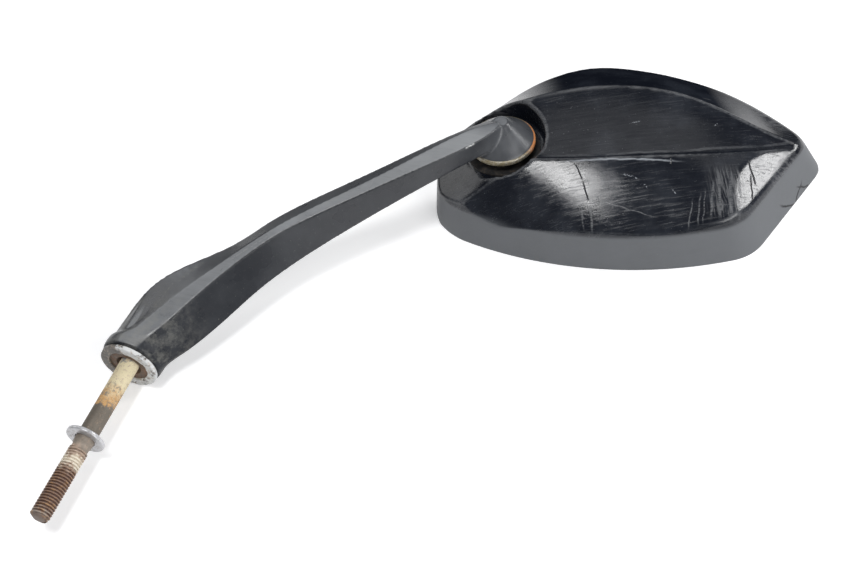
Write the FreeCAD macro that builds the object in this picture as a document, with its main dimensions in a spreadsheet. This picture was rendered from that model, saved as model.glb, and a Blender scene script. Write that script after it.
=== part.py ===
import FreeCAD, Part
import math
import os
from types import SimpleNamespace

import Sketcher
from FreeCAD import Placement, Rotation, Vector

# A rear-view mirror for a scooter or motorcycle: an M8 stud, a faceted cast arm and a moulded head.
# The frame: origin on the stud's axis midway along its thread, the thread along -Y, +Z up.
# The mirror lies glass down, so the rim of the head and the arm's base rest on one plane.

driving_sizes = {
    # stud and base of the arm
    "thread_dia": 8.0,
    "thread_run": 32.0,
    "runout_dia": 7.0,
    "runout_run": 1.4,
    "shank_dia": 7.8,
    "stud_reach": 72.0,
    "tip_chamfer": 1.2,
    "collar_dia": 13.0,
    "collar_thick": 3.0,
    "washer_dia": 16.0,
    "washer_bore": 8.4,
    "washer_thick": 1.6,
    "washer_place": 36.0,
    "base_dia": 25.6,
    "base_collar": 7.0,
    "ring_dia": 24.4,
    "ring_thick": 2.0,
    "ring_gap": 0.4,
    "bush_dia": 16.4,
    "bush_length": 10.0,
    "bush_sink": 0.8,
    "bush_flare": 1.4,
    "running_gap": 0.08,
    "thrust_thick": 1.5,
    "disc_thick": 0.8,
    "disc_cone": 0.7,
    "disc_count": 3,
    "spigot_short": 0.8,
    "spigot_dia": 6.0,
    # arm boss and ball joint
    "boss_dia": 26.6,
    "boss_tall": 0.9,
    "boss_crown": 10.3,
    "boss_tip": 3.0,
    "boss_ring_dia": 27.6,
    "boss_ring_thick": 1.6,
    "boss_lift": 13.5,
    "ball_dia": 12.0,
    "neck_dia": 5.6,
    "ball_shank_dia": 8.0,
    "ball_shank_run": 9.0,
    "cup_thick": 1.2,
    "cup_gap": 1.5,
    "cup_mouth": 8.8,
    "ball_gap": 0.1,
    # head
    "pivot_out": 113.2,
    "pivot_along": 137.6,
    "head_turn": 26.0,
    "reach_in": 32.0,
    "reach_out": 134.0,
    "lower_depth": 57.0,
    "upper_depth": 48.0,
    "wall_tall": 16.5,
    "wall_draft": 4.2,
    "wall_lean": 2.5,
    "crown_rise": 23.0,
    "shell": 2.4,
    "corner_round": 8.0,
    "pocket_dia": 36.0,
    "floor_thick": 2.0,
    "floor_hole": 10.8,
    "tube_wall": 3.0,
    # what closes the head
    "glass_recess": 1.0,
    "glass_thick": 1.8,
    "glass_play": 0.5,
    "seal_width": 2.0,
    "seal_gap": 0.2,
    "pad_thick": 0.5,
    "pad_inset": 3.0,
    "carrier_thick": 1.5,
    "carrier_play": 0.3,
    "plate_thick": 1.4,
    "plate_reach": 19.5,
    "rib_clear": 1.0,
    "rib_thick": 1.6,
    "seat_thick": 1.0,
    "seat_tall": 2.4,
    "seat_wider": 1.0,
    "seat_play": 0.2,
    "seat_room": 0.3,
    "spring_tall": 1.6,
    "spring_thick": 0.7,
    "screw_circle": 15.0,
    "screw_dia": 2.6,
    "screw_head_dia": 5.0,
    "screw_run": 8.0,
    "screw_tip_gap": 0.5,
    "screw_count": 3,
    "shield_dia": 31.0,
    "shield_thick": 0.8,
    "shield_hole": 12.0,
    "shield_room": 0.5,
}

doc = FreeCAD.newDocument("mirror")
sheet = doc.addObject("Spreadsheet::Sheet", "Sizes")
for row, (alias, value) in enumerate(driving_sizes.items(), start=1):
    sheet.set("A%d" % row, alias)
    sheet.set("B%d" % row, str(value))
    sheet.setAlias("B%d" % row, alias)
doc.recompute()


class Length:
    """A size with its value and the formula that binds it to the sheet."""

    def __init__(self, value, text):
        self.value = value
        self.text = text

    def __add__(self, other):
        other = as_length(other)
        return Length(self.value + other.value, "(%s + %s)" % (self.text, other.text))

    def __sub__(self, other):
        other = as_length(other)
        return Length(self.value - other.value, "(%s - %s)" % (self.text, other.text))

    def __mul__(self, factor):
        return Length(self.value * factor, "(%s * %s)" % (self.text, repr(factor)))

    def __truediv__(self, factor):
        return Length(self.value / factor, "(%s / %s)" % (self.text, repr(factor)))

    def __neg__(self):
        return Length(-self.value, "(0 - %s)" % self.text)


def as_length(number):
    return number if isinstance(number, Length) else Length(float(number), repr(float(number)))


mm = SimpleNamespace(**{
    alias: Length(float(sheet.get(alias)), "Sizes." + alias) for alias in driving_sizes
})
zero = as_length(0)

# Heights along the stud, from the base face into the arm.
collar_low = mm.bush_sink + mm.bush_length + mm.running_gap
collar_high = collar_low + mm.collar_thick
thrust_high = collar_high + mm.thrust_thick
disc_pitch = mm.disc_thick + mm.disc_cone
chamber_end = thrust_high + disc_pitch * driving_sizes["disc_count"]
arm_start = mm.ring_thick + mm.ring_gap

# Heights in the head, from the rim that the head lies on.
glass_top = mm.glass_recess + mm.glass_thick
pad_top = glass_top + mm.pad_thick
carrier_top = pad_top + mm.carrier_thick
plate_low = carrier_top + mm.carrier_play
plate_top = plate_low + mm.plate_thick
spring_top = plate_top + mm.spring_tall
ball_radius = mm.ball_dia / 2
cup_inside = ball_radius + mm.ball_gap
cup_outside = cup_inside + mm.cup_thick
socket_inside = cup_outside + mm.ball_gap
pivot_height = spring_top + mm.seat_thick + socket_inside
floor_low = pivot_height + socket_inside
floor_top = floor_low + mm.floor_thick
boss_low = pivot_height + mm.boss_lift
rest_height = mm.base_dia / -2.0
tube_radius = socket_inside + mm.tube_wall
seat_radius = socket_inside + mm.seat_wider


def wall_inset(height, play):
    """How far in from the rim's outline a flat piece stays, to clear the wall at its height."""
    slope = (mm.wall_draft + mm.wall_lean).value / mm.wall_tall.value
    return mm.shell.value + play.value + slope * height.value


glass_inset = wall_inset(carrier_top, mm.glass_play)

# How far a cutting tool runs past what it cuts.
overrun = 1.0


def bound(kind, name, **lengths):
    """A document object whose sizes follow the sheet."""
    thing = doc.addObject(kind, name)
    for key, length in lengths.items():
        thing.setExpression(key.replace("__", "."), length.text)
    return thing


def rod(name, dia, tall, low=zero, out=zero, along=zero):
    """An upright cylinder with its foot at the height low."""
    return bound(
        "Part::Cylinder", name, Radius=dia / 2, Height=tall,
        Placement__Base__x=out, Placement__Base__y=along, Placement__Base__z=low,
    )


def ball(name, radius, middle):
    return bound("Part::Sphere", name, Radius=radius, Placement__Base__z=middle)


def joined(name, shapes):
    fuse = doc.addObject("Part::MultiFuse", name)
    fuse.Shapes = shapes
    return fuse


def trimmed(name, base, tool):
    cut = doc.addObject("Part::Cut", name)
    cut.Base = base
    cut.Tool = tool
    return cut


def shared(name, shapes):
    common = doc.addObject("Part::MultiCommon", name)
    common.Shapes = shapes
    return common


def turned(label, profile):
    """A revolved body: profile lists (radius, height), the axis is the body's own Z."""
    body = doc.addObject("PartDesign::Body", label + "_body")
    sketch = body.newObject("Sketcher::SketchObject", label + "_profile")
    plane = [item for item in body.Origin.OriginFeatures if item.Role == "XZ_Plane"][0]
    sketch.AttachmentSupport = [(plane, "")]
    sketch.MapMode = "FlatFace"
    spots = [Vector(radius.value, height.value, 0) for radius, height in profile]
    count = len(spots)
    for index in range(count):
        sketch.addGeometry(Part.LineSegment(spots[index], spots[(index + 1) % count]))
    for index in range(count):
        sketch.addConstraint(Sketcher.Constraint("Coincident", index, 2, (index + 1) % count, 1))
    for index, (radius, height) in enumerate(profile):
        pin_corner(sketch, index, "DistanceX", radius, -2)
        pin_corner(sketch, index, "DistanceY", height, -1)
    spin = body.newObject("PartDesign::Revolution", label + "_turn")
    spin.Profile = sketch
    spin.ReferenceAxis = (sketch, ["V_Axis"])
    spin.Angle = 360
    body.Tip = spin
    return body


def pin_corner(sketch, index, kind, length, axis):
    """Hold one corner of a profile at its distance, or on the axis where that is nothing."""
    if length is zero:
        sketch.addConstraint(Sketcher.Constraint("PointOnObject", index, 1, axis))
        return
    number = sketch.addConstraint(Sketcher.Constraint(kind, -1, 1, index, 1, length.value))
    sketch.setExpression("Constraints[%d]" % number, length.text)


def named(thing, label, placement):
    """Give a finished sub-part its name and its place."""
    thing.Label = label
    thing.Placement = placement
    finished.append(thing)
    return thing


finished = []
along_stud = Rotation(Vector(1, 0, 0), -90)
base_face = (mm.stud_reach - mm.thread_run / 2).value
on_base_face = Placement(Vector(0, base_face, 0), Rotation())
in_base = Placement(Vector(0, base_face, 0), along_stud)
in_head = Placement(
    Vector(mm.pivot_out.value, base_face + mm.pivot_along.value, rest_height.value),
    Rotation(Vector(0, 0, 1), driving_sizes["head_turn"]),
)


# The stud and what turns with it.

def make_stud():
    """The M8 rod with the neck where its thread runs out, a collar and a spigot for the springs."""
    reach = mm.stud_reach
    spigot_end = reach + chamber_end - mm.spigot_short
    shank = mm.shank_dia / 2
    neck = mm.runout_dia / 2
    thread = mm.thread_dia / 2
    return turned("stud", [
        (zero, zero),
        (thread - mm.tip_chamfer, zero),
        (thread, mm.tip_chamfer),
        (thread, mm.thread_run),
        (neck, mm.thread_run),
        (neck, mm.thread_run + mm.runout_run),
        (shank, mm.thread_run + mm.runout_run),
        (shank, reach + collar_low),
        (mm.collar_dia / 2, reach + collar_low),
        (mm.collar_dia / 2, reach + collar_high),
        (mm.spigot_dia / 2, reach + collar_high),
        (mm.spigot_dia / 2, spigot_end),
        (zero, spigot_end),
    ])


def ring_profile(inside, outside, low, high):
    return [(inside, low), (outside, low), (outside, high), (inside, high)]


def make_thrust_washer():
    return turned("thrust_washer", ring_profile(
        mm.spigot_dia / 2 + mm.running_gap, mm.collar_dia / 2, collar_high, thrust_high,
    ))


def cone_profile(inside, outside, low, thick, cone, cups_down):
    """A coned disc spring: its rim stands off its middle by cone."""
    near = low + cone if cups_down else low
    far = low if cups_down else low + cone
    return [(inside, near), (outside, far), (outside, far + thick), (inside, near + thick)]


def make_disc_springs():
    """Coned discs stacked face to face, rim on rim and bore on bore."""
    inside = mm.spigot_dia / 2 + mm.running_gap
    discs = []
    for index in range(driving_sizes["disc_count"]):
        low = thrust_high + disc_pitch * index
        disc = turned("disc_spring_%d" % index, cone_profile(
            inside, mm.collar_dia / 2, low, mm.disc_thick, mm.disc_cone, index % 2 == 0,
        ))
        discs.append(disc)
    return grouped("disc_springs", discs)


def grouped(name, solids):
    """Identical solids kept separate in one sub-part."""
    group = doc.addObject("Part::Compound", name)
    group.Links = solids
    return group


def make_flat_washer():
    return turned("flat_washer", ring_profile(
        mm.washer_bore / 2, mm.washer_dia / 2, zero, mm.washer_thick,
    ))


# The cast arm and the pieces pressed into it.

# Each station: its middle from the base face, the way the arm heads there, and the six corners
# of its section as (to the right, up), from the left corner over the top and round underneath.
arm_stations = [
    ((0.0, 4.0, 0.0), 90,
     [(-12.0, 3.5), (-4.0, 11.8), (5.0, 11.5), (12.3, -3.0), (6.0, -11.0), (-8.0, -9.5)]),
    ((2.0, 12.8, 1.5), 70,
     [(-11.2, 5.5), (0.0, 11.2), (8.5, 11.2), (14.0, -3.5), (7.0, -11.0), (-8.0, -8.0)]),
    ((8.0, 25.0, 4.0), 62,
     [(-12.8, 7.5), (2.0, 10.8), (9.0, 10.5), (15.4, -5.0), (9.0, -11.0), (-9.0, -6.0)]),
    ((19.4, 45.0, 8.0), 55,
     [(-7.4, 6.5), (3.3, 9.6), (8.1, 9.3), (15.2, -6.0), (9.0, -10.0), (-4.5, -5.0)]),
    ((37.5, 67.4, 12.5), 48,
     [(-5.2, 5.5), (1.9, 8.5), (5.4, 8.0), (11.0, -7.0), (5.5, -10.0), (-3.5, -4.5)]),
    ((57.3, 86.8, 17.0), 42,
     [(-4.6, 5.2), (2.0, 7.5), (6.3, 7.3), (9.6, -6.0), (4.5, -8.5), (-3.0, -4.0)]),
    ((81.4, 106.9, 22.0), 40,
     [(-4.6, 5.0), (0.2, 6.6), (6.5, 6.5), (7.4, -4.5), (3.5, -7.0), (-3.0, -4.0)]),
    ((102.0, 124.3, 26.0), 43,
     [(-4.6, 4.5), (-1.3, 6.1), (6.5, 6.0), (6.0, -3.5), (3.0, -6.0), (-3.0, -4.5)]),
]
# The last section stands over the boss, where the two ridges meet.
elbow_section = [(-4.6, 2.0), (0.6, 4.0), (1.9, 4.0), (6.0, -3.5), (3.0, -6.0), (-3.0, -4.5)]


def station_wire(middle, heading, corners):
    """One six-sided section, upright and square to the arm's heading."""
    turn = math.radians(heading)
    right = Vector(math.sin(turn), -math.cos(turn), 0)
    spots = [middle + right * across + Vector(0, 0, up) for across, up in corners]
    return Part.makePolygon(spots + spots[:1])


def make_arm():
    """A faceted casting: a round base, a six-sided blade that bends and tapers, and a boss."""
    boss_middle = Vector(mm.pivot_out.value, mm.pivot_along.value, 0)
    boss_bottom = rest_height + boss_low + mm.boss_ring_thick
    wires = [station_wire(Vector(*spot), heading, corners) for spot, heading, corners in arm_stations]
    (_, _, last_up), heading, _ = arm_stations[-1]
    boss_middle.z = last_up
    wires.append(station_wire(boss_middle, heading, elbow_section))
    blade = doc.addObject("Part::Feature", "arm_blade")
    blade.Shape = Part.makeLoft(wires, True, False)
    base = bound(
        "Part::Cylinder", "arm_base", Radius=mm.base_dia / 2, Height=mm.base_collar,
        Placement__Base__y=arm_start,
    )
    base.Placement = Placement(Vector(0, arm_start.value, 0), along_stud)
    boss = rod("arm_boss", mm.boss_dia, mm.boss_tall, boss_bottom, mm.pivot_out, mm.pivot_along)
    crown = bound(
        "Part::Cone", "arm_boss_crown", Radius1=mm.boss_dia / 2, Radius2=mm.boss_tip,
        Height=mm.boss_crown, Placement__Base__x=mm.pivot_out, Placement__Base__y=mm.pivot_along,
        Placement__Base__z=boss_bottom + mm.boss_tall,
    )
    solid = joined("arm_solid", [blade, base, boss, crown])
    bores = joined("arm_bores", [
        bored("arm_bush_bore", mm.bush_dia, arm_start - overrun, mm.bush_sink + mm.bush_length),
        bored("arm_chamber", mm.collar_dia + mm.running_gap * 2, collar_low - overrun, chamber_end),
        rod("arm_ball_bore", mm.ball_shank_dia, mm.ball_shank_run + overrun, boss_bottom - overrun,
            mm.pivot_out, mm.pivot_along),
    ])
    return trimmed("arm_casting", solid, bores)


def bored(name, dia, low, high):
    """A cylinder along the stud, as the tool of a bore in the arm's base."""
    tool = bound("Part::Cylinder", name, Radius=dia / 2, Height=high - low, Placement__Base__y=low)
    tool.Placement = Placement(Vector(0, low.value, 0), along_stud)
    return tool


def make_pivot_bush():
    """The steel bush pressed into the arm's base, with a flared mouth round the stud."""
    bore = mm.shank_dia / 2 + mm.running_gap
    high = mm.bush_sink + mm.bush_length
    return turned("pivot_bush", [
        (bore + mm.bush_flare, mm.bush_sink),
        (mm.bush_dia / 2, mm.bush_sink),
        (mm.bush_dia / 2, high),
        (bore, high),
        (bore, mm.bush_sink + mm.bush_flare * 2),
    ])


def make_base_ring():
    return turned("base_ring", ring_profile(mm.bush_dia / 2, mm.ring_dia / 2, zero, mm.ring_thick))


# The ball joint, upright in the head's own frame.

def make_boss_ring():
    return turned("boss_ring", ring_profile(
        mm.ball_shank_dia / 2, mm.boss_ring_dia / 2, boss_low, boss_low + mm.boss_ring_thick,
    ))


def make_ball_stud():
    neck = rod("ball_neck", mm.neck_dia, mm.boss_lift, pivot_height)
    shank = rod("ball_shank", mm.ball_shank_dia, mm.boss_ring_thick + mm.ball_shank_run, boss_low)
    return joined("ball_pin", [ball("ball_knob", ball_radius, pivot_height), neck, shank])


def cup_shell(name, low, high):
    """The part of a thin spherical shell round the ball between two heights."""
    band = rod(name + "_band", cup_outside * 4, high - low, low)
    shell = trimmed(
        name + "_shell",
        ball(name + "_outside", cup_outside, pivot_height),
        ball(name + "_inside", cup_inside, pivot_height),
    )
    return shared(name + "_piece", [shell, band])


def make_upper_cup():
    low = pivot_height + mm.cup_gap / 2
    shell = cup_shell("upper_cup", low, low + cup_outside)
    mouth = rod("upper_cup_mouth", mm.cup_mouth, cup_outside, pivot_height)
    return trimmed("upper_cup_open", shell, mouth)


def make_lower_cup():
    high = pivot_height - mm.cup_gap / 2
    return cup_shell("lower_cup", high - cup_outside, high)


def make_spring_seat():
    """A pressed dish that carries the lower cup on its spring."""
    dish = rod("seat_disc", seat_radius * 2, mm.seat_tall, spring_top)
    return trimmed("seat_dish", dish, ball("seat_hollow", socket_inside, pivot_height))


def make_tension_spring():
    return turned("tension_spring", cone_profile(
        seat_radius / 2, seat_radius, plate_top,
        mm.spring_thick, mm.spring_tall - mm.spring_thick, False,
    ))


# The moulded head. Its outline is seen from behind, with the pivot of the ball at the middle.

# Corners of the rim as shares of the reaches from the pivot: in or out, then down or up.
inner_corner = (-0.875, -0.345)
lower_bulge = (0.24, -0.90)
outer_corner = (0.695, -0.995)
outer_tip = (1.0, -0.24)
upper_curve = [
    (0.88, 0.217), (0.71, 0.72), (0.545, 0.91), (0.373, 1.0), (0.231, 0.92),
    (0.12, 0.80), (0.008, 0.62), (-0.28, 0.51), (-0.6875, 0.37), (-1.0, -0.047),
]

# Sections across the crown, as shares of the same reaches and of the crown's rise:
# where along the head, the front foot, the leaf's low edge, its crest, and the back foot.
crown_sections = [
    (-1.25, -0.36, (-0.21, 0.70), (0.233, 0.85), 0.444),
    (0.00, -0.55, (-0.23, 0.76), (0.268, 0.93), 0.715),
    (0.224, -0.81, (-0.34, 0.77), (0.327, 1.00), 1.267),
    (0.448, -0.89, (-0.40, 0.70), (0.245, 0.96), 1.09),
    (0.657, -0.965, (-0.40, 0.48), (0.007, 0.70), 0.677),
    (0.806, -1.00, (-0.36, 0.26), (-0.20, 0.33), 0.304),
    (1.06, -1.00, (-0.33, -0.10), (-0.25, -0.08), 0.00),
]
crown_bulge = 2.2
leaf_step = (1.2, 1.0)
leaf_sag = 1.2
crown_overrun = 9.0
crown_floor = -30.0
crown_shell_share = 1.15

# Flats at the two ends of the back: a height over the pivot's plan place, and the rise
# outward and upward.
inner_flat = (33.7, 0.554, 0.099)
outer_flat = (81.9, -0.473, 0.41)

screw_phase = 1 / 12
rib_turns = (0, 62, 118, 180, 242, 298)


def spot(across, up, height=0.0):
    """A point of the head from shares of its reaches."""
    out = across * (mm.reach_out.value if across > 0 else mm.reach_in.value)
    rise = up * (mm.upper_depth.value if up > 0 else mm.lower_depth.value)
    return Vector(out, rise, height)


def inward(before, here, after, inset):
    """Move one point of an outline into it, square to the sides that meet there."""
    first = (here - before).normalize()
    second = (after - here).normalize()
    left_of_first = Vector(-first.y, first.x, 0)
    left_of_second = Vector(-second.y, second.x, 0)
    share = inset / (1 + left_of_first.dot(left_of_second))
    return here + (left_of_first + left_of_second) * share


def shortened(edge, cut_start, cut_end):
    first = edge.getParameterByLength(cut_start)
    last = edge.getParameterByLength(edge.Length - cut_end)
    return edge.Curve.toShape(first, last)


def rounded_corner(before, corner, after):
    curve = Part.BezierCurve()
    curve.setPoles([before.valueAt(before.LastParameter), corner, after.valueAt(after.FirstParameter)])
    return curve.toShape()


def head_outline(height, inset, lean=0.0):
    """The closed outline of the head at one height, drawn in by inset and shifted by lean."""
    shares = [inner_corner, lower_bulge, outer_corner, outer_tip] + upper_curve
    spots = [spot(across, up, height) for across, up in shares]
    count = len(spots)
    spots = [
        inward(spots[index - 1], spots[index], spots[(index + 1) % count], inset) - Vector(lean, 0, 0)
        for index in range(count)
    ]
    inner, bulge, outer, tip = spots[:4]
    upper = Part.BSplineCurve()
    upper.interpolate(spots[3:] + [inner])
    cut = mm.corner_round.value
    lower_side = shortened(Part.Arc(inner, bulge, outer).toShape(), cut, cut)
    outer_side = shortened(Part.LineSegment(outer, tip).toShape(), cut, cut)
    upper_side = shortened(upper.toShape(), cut, cut)
    return Part.Wire([
        lower_side, rounded_corner(lower_side, outer, outer_side),
        outer_side, rounded_corner(outer_side, tip, upper_side),
        upper_side, rounded_corner(upper_side, inner, lower_side),
    ])


def drafted_prism(inset):
    """The head's flared wall as a solid that reaches over the crown."""
    top = mm.wall_tall.value + mm.crown_rise.value + overrun
    share = top / mm.wall_tall.value
    low = head_outline(0, inset)
    high = head_outline(top, inset + mm.wall_draft.value * share, mm.wall_lean.value * share)
    return Part.makeLoft([low, high], True, True)


def crown_section(across, front, leaf, crest, back, drop):
    """One section of the crown: a bulging front, the stepped leaf, the crest and a flat back."""
    wall = mm.wall_tall.value - drop
    rise = mm.crown_rise.value
    out = spot(across, 0).x

    def at(up, height):
        return Vector(out, spot(0, up).y, wall + rise * height)

    front_foot = at(front, 0)
    leaf_edge = at(leaf[0], leaf[1])
    crest_edge = at(crest[0], crest[1])
    back_foot = at(back, 0)
    slope = (leaf_edge.z - front_foot.z) / (leaf_edge.y - front_foot.y)
    front_end = front_foot - Vector(0, crown_overrun, crown_overrun * slope)
    front_middle = (front_end + leaf_edge) * 0.5 + Vector(0, 0, crown_bulge)
    fall = (back_foot.z - crest_edge.z) / (back_foot.y - crest_edge.y)
    back_end = back_foot + Vector(0, crown_overrun, crown_overrun * fall)
    share = min(1.0, (crest_edge.y - leaf_edge.y) / (leaf_step[0] * 3))
    leaf_inner = leaf_edge + Vector(0, leaf_step[0] * share, -leaf_step[1] * share)
    leaf_middle = (leaf_inner + crest_edge) * 0.5 - Vector(0, 0, leaf_sag * share)
    return Part.Wire([
        Part.Arc(front_end, front_middle, leaf_edge).toShape(),
        Part.LineSegment(leaf_edge, leaf_inner).toShape(),
        Part.Arc(leaf_inner, leaf_middle, crest_edge).toShape(),
        Part.LineSegment(crest_edge, back_end).toShape(),
        Part.LineSegment(back_end, Vector(out, back_end.y, crown_floor)).toShape(),
        Part.LineSegment(
            Vector(out, back_end.y, crown_floor), Vector(out, front_end.y, crown_floor),
        ).toShape(),
        Part.LineSegment(Vector(out, front_end.y, crown_floor), front_end).toShape(),
    ])


def above_flat(flat, drop):
    """Everything over one of the end flats."""
    height, outward, upward = flat
    reach = mm.reach_out.value * 2
    corners = [
        Vector(out, up, height + outward * out + upward * up - drop)
        for out, up in ((-reach, -reach), (reach, -reach), (reach, reach), (-reach, reach))
    ]
    face = Part.Face(Part.makePolygon(corners + corners[:1]))
    return face.extrude(Vector(0, 0, reach))


def head_mass(inset, drop):
    """The head as one solid, drawn in by inset at its walls and lowered by drop on its back."""
    sections = [crown_section(*section, drop) for section in crown_sections]
    crown = Part.makeLoft(sections, True, False)
    mass = drafted_prism(inset).common(crown)
    for flat in (inner_flat, outer_flat):
        mass = mass.cut(above_flat(flat, drop))
    return mass


def upright(radius, low, high, out=0.0, up=0.0):
    return Part.makeCylinder(radius, high - low, Vector(out, up, low))


def screw_spots():
    """Where the retainer's screws stand round the socket."""
    count = driving_sizes["screw_count"]
    radius = mm.screw_circle.value
    for index in range(count):
        turn = 2 * math.pi * (index / count + screw_phase)
        yield radius * math.cos(turn), radius * math.sin(turn)


def rib_blade(turn, top):
    """One stiffening rib, from the retainer plate out to the wall."""
    thick = mm.rib_thick.value
    foot = Vector(mm.plate_reach.value + mm.rib_clear.value, -thick / 2, carrier_top.value)
    blade = Part.makeBox(mm.reach_out.value, thick, top, foot)
    blade.rotate(Vector(0, 0, 0), Vector(0, 0, 1), turn)
    return blade


def make_head_housing():
    """The shell, with the pocket for the arm's boss, the ball's socket, ribs and screw bosses."""
    top = mm.wall_tall.value + mm.crown_rise.value + overrun
    pocket = mm.pocket_dia.value / 2
    shell = mm.shell.value
    pedestal = upright(
        (mm.shield_dia.value + mm.shield_room.value) / 2, mm.wall_tall.value / 2, floor_top.value,
    )
    outside = head_mass(0, 0).fuse(pedestal).cut(upright(pocket, floor_top.value, top))
    solid_parts = [
        upright(pocket + shell, floor_low.value, top),
        upright(tube_radius.value, plate_top.value, top),
    ]
    solid_parts += [
        upright(mm.screw_dia.value, plate_top.value, top, out, up) for out, up in screw_spots()
    ]
    solid_parts += [rib_blade(turn, top) for turn in rib_turns]
    inside = head_mass(shell, shell * crown_shell_share).cut(solid_parts)
    seat_high = spring_top.value + mm.seat_tall.value + mm.seat_room.value
    socket_tools = [
        Part.makeSphere(socket_inside.value, Vector(0, 0, pivot_height.value)),
        upright(socket_inside.value, plate_top.value, pivot_height.value),
        upright(seat_radius.value + mm.seat_play.value, plate_top.value - overrun, seat_high),
        upright(mm.floor_hole.value / 2, pivot_height.value, top),
    ]
    hole_high = plate_low.value + mm.screw_run.value
    socket_tools += [
        upright(mm.screw_dia.value / 2, plate_top.value - overrun, hole_high, out, up)
        for out, up in screw_spots()
    ]
    housing = outside.cut(inside).cut(socket_tools)
    thing = doc.addObject("Part::Feature", "housing")
    thing.Shape = housing
    return thing


def flat_piece(name, inset, low, high):
    """A plate with the head's outline."""
    thing = doc.addObject("Part::Feature", name)
    thing.Shape = Part.Face(head_outline(low, inset)).extrude(Vector(0, 0, high - low))
    return thing


def make_mirror_glass():
    return flat_piece("glass_plate", glass_inset, mm.glass_recess.value, glass_top.value)


def make_glass_pad():
    return flat_piece("pad_plate", glass_inset + mm.pad_inset.value, glass_top.value, pad_top.value)


def make_glass_carrier():
    return flat_piece("carrier_plate", glass_inset, pad_top.value, carrier_top.value)


def make_rim_seal():
    """The lip that frames the glass inside the rim."""
    gap = mm.seal_gap.value
    high = mm.glass_recess.value
    outside = flat_piece("seal_outside", wall_inset(mm.glass_recess, mm.seal_gap), gap, high)
    inside = flat_piece("seal_inside", glass_inset + mm.seal_width.value, 0, high + overrun)
    return trimmed("seal_band", outside, inside)


def screw_solids(name, tip_gap):
    """Countersunk screws round the socket, or the tools of their holes."""
    head_radius = mm.screw_head_dia / 2
    shank_radius = mm.screw_dia / 2
    solids = []
    for index, (out, up) in enumerate(screw_spots()):
        foot = Placement(Vector(out, up, plate_low.value), Rotation())
        head = bound(
            "Part::Cone", "%s_head_%d" % (name, index), Radius1=head_radius, Radius2=shank_radius,
            Height=mm.plate_thick,
        )
        head.Placement = foot
        shank = bound(
            "Part::Cylinder", "%s_shank_%d" % (name, index), Radius=shank_radius,
            Height=mm.screw_run - tip_gap,
        )
        shank.Placement = foot
        solids.append(joined("%s_%d" % (name, index), [head, shank]))
    return solids


def make_retainer_screws():
    return grouped("screws", screw_solids("screw", mm.screw_tip_gap))


def make_retainer_plate():
    disc = rod("plate_disc", mm.plate_reach * 2, mm.plate_thick, plate_low)
    holes = joined("plate_holes", screw_solids("plate_hole", zero))
    return trimmed("plate_drilled", disc, holes)


def make_socket_shield():
    """The steel washer under the boss, on the floor of the pocket."""
    return turned("socket_shield", ring_profile(
        mm.shield_hole / 2, mm.shield_dia / 2, floor_top, floor_top + mm.shield_thick,
    ))


washer_spot = Placement(Vector(0, base_face - mm.washer_place.value, 0), along_stud)
stud_spot = Placement(Vector(0, -mm.thread_run.value / 2, 0), along_stud)

named(make_stud(), "stud", stud_spot)
named(make_thrust_washer(), "thrust_washer", in_base)
named(make_disc_springs(), "disc_springs", in_base)
named(make_flat_washer(), "flat_washer", washer_spot)
named(make_arm(), "arm", on_base_face)
named(make_pivot_bush(), "pivot_bush", in_base)
named(make_base_ring(), "base_ring", in_base)
named(make_boss_ring(), "boss_ring", in_head)
named(make_ball_stud(), "ball_stud", in_head)
named(make_upper_cup(), "upper_cup", in_head)
named(make_lower_cup(), "lower_cup", in_head)
named(make_spring_seat(), "spring_seat", in_head)
named(make_tension_spring(), "tension_spring", in_head)
named(make_head_housing(), "head_housing", in_head)
named(make_socket_shield(), "socket_shield", in_head)
named(make_retainer_plate(), "retainer_plate", in_head)
named(make_retainer_screws(), "retainer_screws", in_head)
named(make_glass_carrier(), "glass_carrier", in_head)
named(make_glass_pad(), "glass_pad", in_head)
named(make_mirror_glass(), "mirror_glass", in_head)
named(make_rim_seal(), "rim_seal", in_head)

doc.recompute()
for thing in doc.Objects:
    for fault in ("Invalid", "Error"):
        if fault in thing.State:
            raise RuntimeError("%s is %s" % (thing.Name, fault))
os.makedirs("parts", exist_ok=True)
for thing in finished:
    shape = thing.Shape
    if shape.isNull() or not shape.isValid():
        raise RuntimeError("%s has no sound shape" % thing.Label)
    shape.exportStep("parts/%s.step" % thing.Label)
    print("%-16s solids %d volume %.1f" % (thing.Label, len(shape.Solids), shape.Volume))
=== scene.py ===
import math

import bmesh
import bpy
import numpy as np
from mathutils import Euler, Matrix, Vector, noise as roughness


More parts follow.
